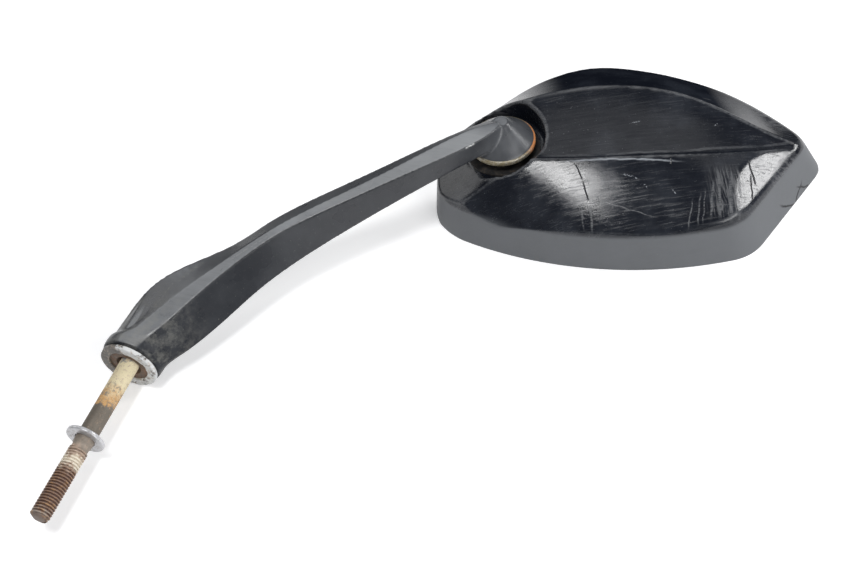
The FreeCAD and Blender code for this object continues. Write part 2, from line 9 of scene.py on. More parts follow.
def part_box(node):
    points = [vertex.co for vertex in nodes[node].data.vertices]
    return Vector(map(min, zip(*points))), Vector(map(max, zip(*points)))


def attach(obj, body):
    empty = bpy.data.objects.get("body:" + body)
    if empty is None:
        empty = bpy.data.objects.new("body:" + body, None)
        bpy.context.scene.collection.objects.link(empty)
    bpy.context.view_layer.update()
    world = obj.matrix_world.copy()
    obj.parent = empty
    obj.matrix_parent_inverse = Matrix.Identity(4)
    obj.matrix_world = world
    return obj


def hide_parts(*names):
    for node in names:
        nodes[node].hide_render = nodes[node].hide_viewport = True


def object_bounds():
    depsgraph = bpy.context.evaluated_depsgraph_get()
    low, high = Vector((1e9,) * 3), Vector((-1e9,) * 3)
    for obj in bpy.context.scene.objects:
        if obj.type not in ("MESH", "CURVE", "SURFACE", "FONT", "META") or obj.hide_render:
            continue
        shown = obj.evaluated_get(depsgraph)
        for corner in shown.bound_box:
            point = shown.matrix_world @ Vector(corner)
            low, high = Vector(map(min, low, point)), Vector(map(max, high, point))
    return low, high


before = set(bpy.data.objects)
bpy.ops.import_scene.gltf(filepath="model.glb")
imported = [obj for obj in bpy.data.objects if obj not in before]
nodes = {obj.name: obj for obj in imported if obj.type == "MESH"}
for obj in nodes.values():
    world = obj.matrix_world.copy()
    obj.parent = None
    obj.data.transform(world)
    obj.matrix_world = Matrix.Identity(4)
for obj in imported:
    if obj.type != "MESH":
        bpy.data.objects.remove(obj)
cadLow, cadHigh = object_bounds()
scene = bpy.context.scene
scene.view_settings.view_transform = "Standard"
mm = 0.001
partWeld = 0.005 * mm  # a part's corners closer than this are one
latheWeld = 0.001 * mm
level = 0.01 * mm  # how far from a height still counts as on it
downward = -0.99  # a face whose normal has a lower Z than this lies flat, looking down
strokeSway = 1.2  # how far a line of wear wanders, in millimetres
ridgeBlur = (0.6, 2)  # share and passes that calm the ridge attribute

# camera: looks down on the back of the head, a little rolled
cameraSetup = {
    "place": (0.28454, -0.20357, 0.44776),
    "turn": (39.4777, 7.045, 20.3526),
    "lens": 60.7,
    "sensor": 36,
    "nearest": 0.01,
}


def placeCamera():
    data = bpy.data.cameras.new("camera")
    data.lens = cameraSetup["lens"]
    data.sensor_width = cameraSetup["sensor"]
    data.clip_start = cameraSetup["nearest"]
    camera = bpy.data.objects.new("camera", data)
    camera.location = cameraSetup["place"]
    camera.rotation_euler = Euler([math.radians(a) for a in cameraSetup["turn"]])
    scene.collection.objects.link(camera)
    scene.camera = camera


placeCamera()
print("camera placed")


# shader helpers: lengths inside a material are millimetres

def startMaterial(name):
    material = bpy.data.materials.new(name)
    material.use_nodes = True
    tree = material.node_tree
    return material, tree, tree.nodes["Principled BSDF"]


def put(tree, kind, sockets=None, **settings):
    node = tree.nodes.new(kind)
    for key, value in settings.items():
        setattr(node, key, value)
    for socket, value in (sockets or {}).items():
        if isinstance(value, bpy.types.NodeSocket):
            tree.links.new(value, node.inputs[socket])
        else:
            node.inputs[socket].default_value = value
    return node


def place(tree, origin=(0, 0, 0), turn=0.0):
    # where the surface is, measured from an origin along axes turned about Z
    spot = put(tree, "ShaderNodeTexCoord").outputs["Object"]
    return put(tree, "ShaderNodeMapping", {
        "Vector": spot, "Location": [mm * value for value in origin],
        "Rotation": (0, 0, math.radians(turn)), "Scale": (mm, mm, mm),
    }, vector_type="TEXTURE").outputs["Vector"]


def stretched(tree, where, factors, turn=0.0):
    return put(tree, "ShaderNodeMapping", {
        "Vector": where, "Rotation": (0, 0, math.radians(turn)), "Scale": factors,
    }, vector_type="POINT").outputs["Vector"]


def noise(tree, where, scale, detail=4.0, rough=0.6, warp=0.0):
    return put(tree, "ShaderNodeTexNoise", {
        "Vector": where, "Scale": scale, "Detail": detail, "Roughness": rough, "Distortion": warp,
    }).outputs["Fac"]


def span(tree, value, low, high, outLow=0.0, outHigh=1.0):
    return put(tree, "ShaderNodeMapRange", {
        "Value": value, "From Min": low, "From Max": high, "To Min": outLow, "To Max": outHigh,
    }, interpolation_type="SMOOTHSTEP").outputs["Result"]


def maths(tree, operation, first, second=0.0):
    return put(tree, "ShaderNodeMath", {0: first, 1: second}, operation=operation).outputs[0]


def times(tree, *values):
    total = values[0]
    for value in values[1:]:
        total = maths(tree, "MULTIPLY", total, value)
    return total


def most(tree, *values):
    total = values[0]
    for value in values[1:]:
        total = maths(tree, "MAXIMUM", total, value)
    return total


def blendColour(tree, share, first, second):
    mix = put(tree, "ShaderNodeMix", data_type="RGBA")
    for socket, value in ((0, share), (6, first), (7, second)):
        if isinstance(value, bpy.types.NodeSocket):
            tree.links.new(value, mix.inputs[socket])
        elif socket:
            mix.inputs[socket].default_value = (*value, 1)
        else:
            mix.inputs[socket].default_value = value
    return mix.outputs[2]


def layered(tree, colour, layers):
    # each layer is its share and its tint, laid over what lies below it
    for share, tint in layers:
        colour = blendColour(tree, share, colour, tint)
    return colour


def bands(tree, value, stops):
    ramp = put(tree, "ShaderNodeValToRGB", {"Fac": value})
    points = ramp.color_ramp.elements
    while len(points) < len(stops):
        points.new(0.5)
    for point, (where, colour) in zip(points, stops):
        point.position = where
        point.color = (*colour, 1)
    return ramp.outputs["Color"]


def axisOf(tree, where, axis):
    return put(tree, "ShaderNodeSeparateXYZ", {"Vector": where}).outputs[axis]


def facing(tree, axis):
    # how far the surface faces along one of the object's axes
    normal = put(tree, "ShaderNodeTexCoord").outputs["Normal"]
    return put(tree, "ShaderNodeSeparateXYZ", {"Vector": normal}).outputs[axis]


def edgeWear(tree, low, high):
    # the attribute that wornCopy leaves: above 0 on ridges, below 0 in creases
    worn = put(tree, "ShaderNodeAttribute", attribute_name="ridge").outputs["Fac"]
    return span(tree, worn, low, high)


def near(tree, where, centre, reach, fade):
    # 1 within reach of a spot, fading to 0 over the distance fade
    away = put(tree, "ShaderNodeVectorMath", {0: where, 1: centre}, operation="DISTANCE")
    return span(tree, away.outputs["Value"], reach + fade, reach)


def strokes(tree, where, marks):
    # soft lines of wear and of painted highlight, each (across, up, turn, half length, half width)
    wobble = put(tree, "ShaderNodeTexNoise", {"Vector": where, "Scale": 0.22, "Detail": 2.0})
    sway = put(tree, "ShaderNodeVectorMath", {
        0: wobble.outputs["Color"], 1: (strokeSway, strokeSway, 0),
    }, operation="MULTIPLY")
    bent = put(tree, "ShaderNodeVectorMath", {0: where, 1: sway.outputs[0]}, operation="ADD").outputs[0]
    total = 0.0
    for across, up, turn, length, width in marks:
        local = put(tree, "ShaderNodeMapping", {
            "Vector": bent, "Location": (across + strokeSway / 2, up + strokeSway / 2, 0),
            "Rotation": (0, 0, math.radians(turn)), "Scale": (length, width, 1),
        }, vector_type="TEXTURE").outputs["Vector"]
        along = span(tree, maths(tree, "ABSOLUTE", axisOf(tree, local, 0)), 1.0, 0.5)
        beside = span(tree, maths(tree, "ABSOLUTE", axisOf(tree, local, 1)), 1.0, 0.2)
        total = maths(tree, "MAXIMUM", total, maths(tree, "MULTIPLY", along, beside))
    return total


def roughen(tree, shader, height, strength, distance):
    bump = put(tree, "ShaderNodeBump", {
        "Height": height, "Strength": strength, "Distance": distance * mm,
    })
    tree.links.new(bump.outputs["Normal"], shader.inputs["Normal"])


def finish(tree, shader, colour, rough, metal=0.0):
    tree.links.new(colour, shader.inputs["Base Color"])
    tree.links.new(rough, shader.inputs["Roughness"])
    if isinstance(metal, bpy.types.NodeSocket):
        tree.links.new(metal, shader.inputs["Metallic"])
    else:
        shader.inputs["Metallic"].default_value = metal


def dress(thing, material):
    thing.data.materials.clear()
    thing.data.materials.append(material)


# the head's own axes: along and across it from the ball's place, and up from the floor
headAxes = {"origin": (113.2, 193.6, -12.8), "turn": 26.0}


# mesh helpers

def addPiece(name, mesh, body, replaced=None):
    data = bpy.data.meshes.new(name)
    mesh.to_mesh(data)
    mesh.free()
    for face in data.polygons:
        face.use_smooth = True
    piece = bpy.data.objects.new(name, data)
    scene.collection.objects.link(piece)
    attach(piece, body)
    if replaced:
        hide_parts(replaced)
    return piece


def relax(spots, pairs, share, passes):
    # moves each vertex towards the middle of its neighbours by its own share
    count = len(spots)
    neighbours = np.bincount(pairs.ravel(), minlength=count)[:, None]
    for turn in range(passes):
        total = np.stack([
            np.bincount(pairs[:, 0], spots[pairs[:, 1], axis], count)
            + np.bincount(pairs[:, 1], spots[pairs[:, 0], axis], count)
            for axis in range(spots.shape[1])
        ], axis=1)
        spots = spots + share[:, None] * (total / neighbours - spots)
    return spots


def read(items, what, width):
    values = np.empty(len(items) * width)
    items.foreach_get(what, values)
    return values.reshape(-1, width)


def deepenFoot(mesh, depth):
    # carries the rim on below the floor, so that it can be cut clean afterwards
    foot = [
        face for face in mesh.faces
        if face.normal.z < downward and face.calc_center_median().z < cadLow[2] + level
    ]
    grown = bmesh.ops.extrude_face_region(mesh, geom=foot)
    low = [item for item in grown["geom"] if isinstance(item, bmesh.types.BMVert)]
    bmesh.ops.translate(mesh, verts=low, vec=(0, 0, -depth))
    bmesh.ops.delete(mesh, geom=foot, context="FACES")


def cutFoot(piece, height):
    mesh = bmesh.new()
    mesh.from_mesh(piece.data)
    cut = bmesh.ops.bisect_plane(
        mesh, geom=list(mesh.verts) + list(mesh.edges) + list(mesh.faces),
        plane_co=(0, 0, height), plane_no=(0, 0, -1), clear_outer=True,
    )
    rim = [item for item in cut["geom_cut"] if isinstance(item, bmesh.types.BMEdge)]
    bmesh.ops.triangle_fill(mesh, edges=rim, use_beauty=True, normal=(0, 0, -1))
    mesh.to_mesh(piece.data)
    mesh.free()
    for face in piece.data.polygons:
        face.use_smooth = face.normal.z > downward or face.center.z > height + level


def softShare(spots, look):
    # how far each vertex is softened: by its height, and more towards the head's outer end
    turn = math.radians(headAxes["turn"])
    out = (spots[:, 0] / mm - headAxes["origin"][0]) * math.cos(turn)
    out = out + (spots[:, 1] / mm - headAxes["origin"][1]) * math.sin(turn)
    start, full = look["softSpan"]
    away = (spots[:, 2] / mm - look["softHeight"]) / look["softReach"]
    return np.exp(-away ** 2) * np.clip((out - start) / (full - start), look["softLeast"], 1)


def rimAt(spots, height, turns, look):
    # how far the skin stands from the stud's axis all round at one height
    radius = np.hypot(spots[:, 0], spots[:, 2])
    angle = np.arctan2(spots[:, 2], spots[:, 0])
    band = np.abs(spots[:, 1] - height * mm) < look["waistBand"] * mm
    skin = band & (radius > look["skinRadius"] * mm)
    order = np.argsort(angle[skin])
    rim = np.interp(turns, angle[skin][order], radius[skin][order], period=2 * math.pi)
    blur = look["waistBlur"]
    return sum(np.roll(rim, shift) for shift in range(-blur, blur + 1)) / (2 * blur + 1)


def fillWaist(spots, look):
    # the casting runs straight from its wide part into its collar
    low, high = look["waist"]
    turns = np.linspace(-math.pi, math.pi, look["waistTurns"] + 1)[:-1]
    lowRim = rimAt(spots, low, turns, look)
    highRim = rimAt(spots, high, turns, look)
    radius = np.hypot(spots[:, 0], spots[:, 2])
    angle = np.arctan2(spots[:, 2], spots[:, 0])
    share = (spots[:, 1] / mm - low) / (high - low)
    between = (share > 0) & (share < 1) & (radius > look["skinRadius"] * mm)
    lowSpot = np.interp(angle, turns, lowRim, period=2 * math.pi)
    highSpot = np.interp(angle, turns, highRim, period=2 * math.pi)
    wanted = lowSpot * (1 - share) + highSpot * share
    grow = np.where(between, np.clip(wanted / radius, 1.0, look["waistGrowth"]), 1.0)
    for axis in (0, 2):
        spots[:, axis] = np.maximum(spots[:, axis] * grow, cadLow[axis] + look["boxGap"] * mm)


def wornCopy(name, node, body, look):
    # a part's own shape as one fine skin with its sharp edges worn soft
    mesh = bmesh.new()
    mesh.from_mesh(nodes[node].data)
    bmesh.ops.remove_doubles(mesh, verts=mesh.verts, dist=partWeld)
    if "foot" in look:
        deepenFoot(mesh, look["foot"] * mm)
    piece = addPiece(name, mesh, body, node)
    remesh = piece.modifiers.new("remesh", "REMESH")
    remesh.mode = "VOXEL"
    remesh.voxel_size = look["grain"] * mm
    bpy.context.view_layer.update()
    graph = bpy.context.evaluated_depsgraph_get()
    settled = bpy.data.meshes.new_from_object(piece.evaluated_get(graph))
    piece.modifiers.clear()
    piece.data = settled
    spots = read(settled.vertices, "co", 3)
    pairs = read(settled.edges, "vertices", 2).astype(int)
    for turn in range(look["passes"]):
        spots = relax(spots, pairs, np.full(len(spots), 0.5), 1)
        spots = relax(spots, pairs, np.full(len(spots), -look["firm"]), 1)
    if "softHeight" in look:
        spots = relax(spots, pairs, 0.5 * softShare(spots, look), look["softPasses"])
    if "collar" in look:
        away = (spots[:, 1] / mm - look["collar"]) / look["collarReach"]
        spots = relax(spots, pairs, 0.5 * np.exp(-away ** 4), look["collarPasses"])
        fillWaist(spots, look)
        away = (spots[:, 1] / mm - sum(look["waist"]) / 2) / look["waistReach"]
        spots = relax(spots, pairs, 0.5 * np.exp(-away ** 4), look["waistPasses"])
    settled.vertices.foreach_set("co", spots.ravel())
    settled.update()
    normals = read(settled.vertices, "normal", 3)
    middle = relax(spots, pairs, np.ones(len(spots)), 1)
    ridge = np.sum((spots - middle) * normals, axis=1) / (look["grain"] * mm)
    share, passes = ridgeBlur
    ridge = relax(ridge[:, None], pairs, np.full(len(spots), share), passes)
    ridges = settled.attributes.new("ridge", "FLOAT", "POINT")
    ridges.data.foreach_set("value", ridge.ravel())
    for face in settled.polygons:
        face.use_smooth = True
    if "foot" in look:
        cutFoot(piece, cadLow[2] + look["lift"] * mm)
    return piece


def lathe(profile, steps):
    # a profile of (radius, along Y) pairs in millimetres spun round the Y axis
    mesh = bmesh.new()
    verts = [mesh.verts.new((radius * mm, along * mm, 0)) for radius, along in profile]
    edges = [mesh.edges.new(pair) for pair in zip(verts, verts[1:])]
    bmesh.ops.spin(
        mesh, geom=verts + edges, cent=(0, 0, 0), axis=(0, 1, 0),
        angle=2 * math.pi, steps=steps, use_merge=True,
    )
    bmesh.ops.remove_doubles(mesh, verts=mesh.verts, dist=latheWeld)
    bmesh.ops.recalc_face_normals(mesh, faces=mesh.faces)
    return mesh


def ringProfile(inside, outside, low, high, soft, bends=3):
    # a ring's section with rounded corners, closed
    spots = []
    for radius, along, start in (
        (outside - soft, low + soft, -90), (outside - soft, high - soft, 0),
        (inside + soft, high - soft, 90), (inside + soft, low + soft, 180),
    ):
        for step in range(bends + 1):
            angle = math.radians(start + 90 * step / bends)
            spots.append((radius + soft * math.cos(angle), along + soft * math.sin(angle)))
    return spots + spots[:1]


# the head's moulded shell

headLook = {
    "grain": 0.84,
    "passes": 6,
    "firm": 0.30,
    "softHeight": 3.7,
    "softReach": 2.2,
    "softPasses": 26,
    "softSpan": (40, 95),
    "softLeast": 0.12,
    "foot": 3.0,
    "lift": 0.05,
    "black": (0.0070, 0.0086, 0.0135),
    "worn": (0.033, 0.038, 0.049),
    "dust": (0.20, 0.205, 0.215),
    # light flecks, and the painted reflection along the belly's top edge
    "fleckAndGlint": (0.34, 0.36, 0.39),
    "gouge": (0.006, 0.006, 0.008),
    # the wall is lighter than the black top; much of its grey is painted light bounced up from the floor
    "wall": (0.172, 0.180, 0.190),
    "wallShade": (0.105, 0.112, 0.120),
    "wallTop": 15.5,
    "dustSpot": (18.0, -6.0, 33.0),
    "backWay": (-0.4384, 0.8988, 0.0),
    "backDark": (14.0, 107.0),
    "scuffs": [
        (46.0, -42.0, -24, 12.3, 0.3),
        (26.6, -40.5, 84, 5.0, 0.5),
        (30.0, -41.8, 84, 5.2, 0.6),
        (69.1, -47.0, 68, 6.4, 0.4),
        (72.8, -45.8, 73, 7.0, 0.5),
        (75.0, -45.0, 74, 7.6, 0.4),
        (78.7, -42.7, 74, 9.2, 0.7),
        (81.8, -42.4, 80, 10.2, 0.9),
        (86.4, -42.5, 79, 10.0, 1.2),
        (91.0, -37.0, 83, 7.0, 0.6),
        (87.5, 8.0, 12, 2.6, 0.5),
    ],
    "flecks": [
        (47.5, -29.4, -25, 2.6, 0.5),
        (50.6, -31.4, -40, 1.3, 0.4),
        (53.4, -34.4, -62, 1.4, 0.35),
        (64.2, -38.2, -60, 1.6, 0.35),
        (55.0, -4.4, 6, 2.6, 0.4),
        (87.7, -7.9, 30, 1.2, 0.4),
    ],
    "gouges": [
        (28.2, -24.6, -74, 4.2, 0.32),
        (29.6, -32.2, -86, 4.4, 0.34),
        (97.4, -31.5, -86, 6.4, 0.45),
        (95.7, -38.6, 81, 6.9, 0.35),
        (65.6, -26.0, 85, 1.6, 0.3),
        (113.0, -34.5, 34, 6.0, 0.3),
        (118.5, -29.0, 61, 6.0, 0.3),
        (121.5, -25.5, 33, 5.0, 0.26),
    ],
    "tints": {
        "clouds": 0.50, "hairs": 0.34, "combs": 0.10, "patch": 0.42, "brushed": 0.30, "ridges": 0.5,
        "scuffs": 0.45, "specks": 0.32, "flecks": 0.85, "wallStreaks": 0.5, "wallClouds": 0.5,
    },
    "roughness": {
        "clouds": (0.09, 0.15), "hairs": 0.20, "patch": 0.42, "brushed": 0.36, "scuffs": 0.5,
        "wall": 0.5, "gouges": 0.5,
    },
    "relief": (0.55, 0.06),
    "gleam": (0.34, 0.56),
    "greyPatch": (85.0, -40.0, 78, 13.0, 10.0),
    "brushed": [
        (113.5, 1.0, -62, 13.0, 6.0),
        (111.5, -27.5, 52, 13.0, 5.0),
        (-8.0, 17.0, 20, 16.0, 8.0),
    ],
    # painted reflection: a bright line along the belly's top edge
    "paintedGlintLine": (46.0, -22.9, -8.6, 27.0, 0.55),
    # light grey along the leaf's lower lip: partly scuffs, partly a painted highlight
    "lipWearAndHighlight": [
        (26.0, -16.6, -11, 13.5, 1.0),
        (54.0, -20.0, -3.5, 19.0, 1.0),
        (87.4, -19.4, 5.4, 20.0, 1.0),
        (111.0, -16.4, 10, 9.0, 0.9),
    ],
}


def headMaterial():
    look = headLook
    tint = look["tints"]
    gloss = look["roughness"]
    dust = look["dust"]
    material, tree, shader = startMaterial("scuffedGlossBlack")
    where = place(tree, **headAxes)
    along = axisOf(tree, where, 0)
    # noises: long hairs along the head, finer ones, combs across it and clouds
    streak = noise(tree, stretched(tree, where, (0.055, 1.0, 0.5), -4), 1.2, 5, 0.75)
    fine = noise(tree, stretched(tree, where, (0.05, 1.0, 0.6), 5), 4.5, 2, 0.6)
    crosswise = noise(tree, stretched(tree, where, (1.0, 0.06, 0.2), 14), 1.5, 3, 0.65)
    cloud = span(tree, noise(tree, where, 0.045, 5), 0.38, 0.68)
    hairs = span(tree, streak, 0.60, 0.74)
    combs = span(tree, crosswise, 0.60, 0.72)
    ragged = span(tree, streak, 0.36, 0.58)
    dusty = span(tree, near(tree, where, look["dustSpot"], 9, 26), 0, 1, 0.0, 0.035)
    specks = span(tree, maths(tree, "ADD", noise(tree, where, 1.15, 2, 0.5), dusty), 0.70, 0.76)
    # where the wear lies, and the painted light: bounce on the wall, highlights on the lip and the crest,
    # a reflection along the belly's top edge
    top = look["wallTop"]
    wall = times(
        tree, span(tree, facing(tree, 2), 0.62, 0.42),
        span(tree, axisOf(tree, where, 2), top + 1.5, top - 1.0),
    )
    scuffs = times(tree, strokes(tree, where, look["scuffs"]), span(tree, fine, 0.3, 0.6))
    broken = span(tree, noise(tree, where, 1.6, 2), 0.45, 0.6)
    flecks = times(tree, strokes(tree, where, look["flecks"]), broken)
    gouges = strokes(tree, where, look["gouges"])
    patch = times(tree, strokes(tree, where, [look["greyPatch"]]), span(tree, crosswise, 0.40, 0.62))
    brushed = times(tree, strokes(tree, where, look["brushed"]), ragged)
    # the leaf's lower lip: partly scuffs, partly a painted highlight
    lipWearAndHighlight = times(tree, strokes(tree, where, look["lipWearAndHighlight"]), span(tree, fine, 0.25, 0.55))
    # painted reflection: the bright line along the belly's top edge
    glintLine = times(
        tree, strokes(tree, where, [look["paintedGlintLine"]]), span(tree, fine, 0.2, 0.5),
    )
    # lighter along the ridges: partly worn edges, partly a painted highlight along the crest
    ridges = times(tree, edgeWear(tree, 0.022, 0.06), span(tree, fine, 0.3, 0.55))
    # colour
    haze = maths(tree, "ADD", times(tree, cloud, tint["clouds"]), times(tree, hairs, tint["hairs"]))
    # the wall's colour, much of it painted bounce light from the floor
    wallWithBounce = layered(tree, look["wall"], [
        (times(tree, streak, tint["wallStreaks"]), look["worn"]),
        (times(tree, cloud, tint["wallClouds"]), look["wallShade"]),
    ])
    colour = layered(tree, look["black"], [
        (haze, look["worn"]),
        (times(tree, combs, cloud, tint["combs"]), dust),
        (times(tree, patch, tint["patch"]), dust),
        # scuffed streaks, and the lip's scuffs with its painted highlight
        (times(tree, most(tree, brushed, lipWearAndHighlight), tint["brushed"]), dust),
        # the wall, painted lighter with bounce light from the floor
        (wall, wallWithBounce),
        # ridges: partly worn edges, partly a painted highlight along the crest
        (times(tree, ridges, tint["ridges"]), dust),
        (times(tree, scuffs, tint["scuffs"]), dust),
        (times(tree, specks, tint["specks"]), dust),
        # light flecks, and the painted reflection along the belly's top edge
        (times(tree, most(tree, flecks, glintLine), tint["flecks"]), look["fleckAndGlint"]),
        (gouges, look["gouge"]),
    ])
    # roughness: cloudy gloss, ragged along the hairs, dull where it is worn
    rough = maths(
        tree, "ADD", span(tree, cloud, 0, 1, *gloss["clouds"]),
        span(tree, streak, 0.46, 0.64, 0.0, gloss["hairs"]),
    )
    rough = most(
        tree, rough, times(tree, patch, gloss["patch"]), times(tree, brushed, gloss["brushed"]),
        times(tree, scuffs, gloss["scuffs"]), times(tree, wall, gloss["wall"]),
        times(tree, gouges, gloss["gouges"]),
    )
    finish(tree, shader, colour, rough)
    # relief, calmer on the wall
    relief = maths(tree, "ADD", streak, times(tree, fine, 0.5))
    relief = maths(tree, "ADD", relief, times(tree, crosswise, patch, 1.4))
    relief = maths(tree, "SUBTRACT", relief, times(tree, gouges, 2.5))
    roughen(tree, shader, times(tree, relief, span(tree, wall, 0, 1, 1.0, 0.2)), *look["relief"])
    # the back slope mirrors less, but for its middle
    low, high = look["backDark"]
    back = put(tree, "ShaderNodeVectorMath", {
        0: put(tree, "ShaderNodeTexCoord").outputs["Normal"], 1: look["backWay"],
    }, operation="DOT_PRODUCT").outputs["Value"]
    dull = times(
        tree, span(tree, back, 0.18, 0.34), span(tree, along, low - 28, low + 18),
        span(tree, along, high + 22, high - 18),
    )
    gleam = maths(tree, "ADD", span(tree, streak, 0.35, 0.65, *look["gleam"]), times(tree, cloud, 0.1))
    shown = times(tree, gleam, span(tree, dull, 0, 1, 1.0, 0.0))
    tree.links.new(shown, shader.inputs["Specular IOR Level"])
    return material


headShell = wornCopy("headShell", "head_housing", "head", headLook)
dress(headShell, headMaterial())
print("head dressed,", len(headShell.data.polygons), "faces")


# the cast arm with its worn paint

armLook = {
    "grain": 0.45,
    "passes": 12,
    "firm": 0.32,
    "collar": 64.0,
    "collarReach": 5.0,
    "collarPasses": 90,
    "waist": (58.5, 84.0),
    "waistReach": 14.0,
    "waistPasses": 14,
    "waistBand": 0.6,
    "waistTurns": 180,
    "waistBlur": 3,
    "waistGrowth": 1.4,
    "boxGap": 0.02,
    "skinRadius": 10.0,
    # centre of a painted sheen round the elbow
    "elbowSheen": (113.2, 193.6, 20.0),
    "shade": (10.0, 74.0, -4.0),
    "paint": (0.024, 0.026, 0.031),
    # grey: random haze and dust, also painted light on the up-facing band and a painted sheen round the
    # elbow
    "grey": (0.215, 0.225, 0.240),
    # paler grey where the paint is rubbed, together with a painted highlight
    "rubbedAndSheen": (0.37, 0.38, 0.39),
    "dust": (0.27, 0.265, 0.24),
    "metal": (0.62, 0.63, 0.62),
    "base": (0.0, 58.0, 6.0),
    "chips": [
        (106.4, 175.8, 46, 2.4, 0.3),
        (112.6, 192.4, -50, 2.6, 0.4),
    ],
    "scrapes": [
        (15.9, 76.4, 70, 4.5, 0.5),
        (12.0, 97.0, 60, 8.0, 1.6),
        (6.0, 84.0, 78, 10.0, 0.6),
        (60.0, 142.0, 44, 9.0, 0.5),
        (33.0, 112.0, 52, 12.0, 0.5),
    ],
    "chipHeight": 24.0,
    "tints": {
        "bareAndSheen": 0.50, "drift": 0.10, "grime": 0.40, "scrapes": 0.35, "ridges": 0.07, "specks": 0.25,
    },
    "gloss": (0.26, 0.38),
    "relief": (0.3, 0.04),
    "gleam": (0.5, 0.12),
}


def armMaterial():
    look = armLook
    tint = look["tints"]
    dust = look["dust"]
    material, tree, shader = startMaterial("wornSatinBlack")
    where = place(tree)
    along = axisOf(tree, where, 1)
    up = facing(tree, 2)
    cloud = span(tree, noise(tree, where, 0.05, 3), 0.30, 0.75)
    grain = noise(tree, where, 1.8, 3)
    drift = noise(tree, stretched(tree, where, (0.08, 1.0, 0.6), -48), 1.1, 4, 0.7)
    specks = span(tree, noise(tree, where, 1.3, 2, 0.5), 0.70, 0.75)
    ragged = span(tree, noise(tree, where, 0.9, 4, 0.7), 0.40, 0.55)
    grime = times(
        tree, near(tree, where, look["base"], 13, 26),
        span(tree, noise(tree, where, 0.22, 6, 0.7), 0.40, 0.66),
    )
    edge = look["chipHeight"]
    top = span(tree, axisOf(tree, where, 2), edge - 1, edge + 1)
    chips = times(tree, strokes(tree, where, look["chips"]), top, ragged, edgeWear(tree, 0.0, 0.05))
    scrapes = times(tree, strokes(tree, where, look["scrapes"]), ragged, span(tree, drift, 0.4, 0.6))
    ridges = edgeWear(tree, 0.04, 0.10)
    # the up-facing band is painted lighter: partly dust on the flat top, partly painted light from above;
    # further along it is painted paler still, partly rubbed paint and partly a painted highlight
    lean = span(tree, facing(tree, 0), -0.25, -0.14)
    settled = times(
        tree, span(tree, up, 0.90, 0.98), span(tree, along, 60, 115, 0.75, 1.0),
        span(tree, lean, 0, 1, 0.30, 1.0),
    )
    bareAndSheen = times(
        tree, span(tree, up, 0.82, 0.92), lean, span(tree, along, 110, 168, 0.55, 1.0),
        span(tree, drift, 0.30, 0.60, 0.7, 1.0), span(tree, along, 190, 180),
    )
    # painted sheen: lighter grey round the elbow's apex
    elbowSheen = near(tree, where, look["elbowSheen"], 8, 16)
    # lighter grey: random clouds, the up-facing band (partly painted light) and the painted sheen round
    # the elbow
    haze = most(
        tree, times(tree, cloud, 0.10), times(tree, settled, span(tree, cloud, 0, 1, 0.60, 1.0)),
        times(tree, elbowSheen, span(tree, cloud, 0, 1, 0.20, 0.45)),
    )
    colour = layered(tree, look["paint"], [
        (haze, look["grey"]),
        # rubbed paint along the top, with a painted highlight
        (times(tree, bareAndSheen, tint["bareAndSheen"]), look["rubbedAndSheen"]),
        (times(tree, span(tree, drift, 0.60, 0.72), tint["drift"]), dust),
        (times(tree, grime, tint["grime"]), dust),
        (times(tree, scrapes, tint["scrapes"]), dust),
        (times(tree, ridges, ragged, tint["ridges"]), dust),
        (times(tree, specks, tint["specks"]), dust),
        (chips, look["metal"]),
    ])
    rough = maths(
        tree, "ADD", span(tree, cloud, 0, 1, *look["gloss"]),
        times(tree, most(tree, grime, scrapes), 0.25),
    )
    finish(tree, shader, colour, rough)
    relief = maths(tree, "ADD", grain, times(tree, drift, 0.6))
    relief = maths(tree, "SUBTRACT", relief, times(tree, chips, 2.0))
    roughen(tree, shader, relief, *look["relief"])
    # the low side near the base mirrors less
    shade = times(tree, near(tree, where, look["shade"], 26, 62), span(tree, up, 0.80, 0.60))
    gleam = span(tree, shade, 0, 1, *look["gleam"])
    tree.links.new(gleam, shader.inputs["Specular IOR Level"])
    return material


armCasting = wornCopy("armCasting", "arm", "arm", armLook)
dress(armCasting, armMaterial())
print("arm dressed,", len(armCasting.data.polygons), "faces")


# the stud: a turned rod under a rolled thread, eaten by rust

studShape = {
    "tip": -16.0,
    "chamfer": 1.1,
    "core": 3.3,
    "crest": 3.96,
    "threadEnd": 16.0,
    "neckEnd": 17.4,
    "neck": 3.5,
    "shank": 3.9,
    "collarLow": 66.9,
    "collarHigh": 69.9,
    "collar": 6.5,
    "spigot": 3.0,
    "spigotEnd": 75.1,
    "pitch": 1.25,
    "flank": 0.56,
    "flat": 0.10,
    "soft": 0.25,
    "bedding": 0.12,
    "tipSink": 0.5,
    "runOut": 0.7,
    "steps": 64,
}


def makeStud():
    s = studShape
    soft = s["soft"]
    mesh = lathe([
        (0, s["tip"]),
        (s["core"] - s["chamfer"], s["tip"]),
        (s["core"] - soft, s["tip"] + s["chamfer"] * 0.6),
        (s["core"], s["tip"] + s["chamfer"]),
        (s["core"], s["threadEnd"] - soft),
        (s["neck"], s["threadEnd"]),
        (s["neck"], s["neckEnd"] - soft),
        (s["shank"] - soft, s["neckEnd"]),
        (s["shank"], s["neckEnd"] + soft),
        (s["shank"], s["collarLow"]),
        (s["collar"] - soft, s["collarLow"]),
        (s["collar"], s["collarLow"] + soft),
        (s["collar"], s["collarHigh"] - soft),
        (s["collar"] - soft, s["collarHigh"]),
        (s["spigot"], s["collarHigh"]),
        (s["spigot"], s["spigotEnd"] - soft),
        (s["spigot"] - soft, s["spigotEnd"]),
        (0, s["spigotEnd"]),
    ], s["steps"])
    addThread(mesh)
    return addPiece("rustyStud", mesh, "stud", "stud")


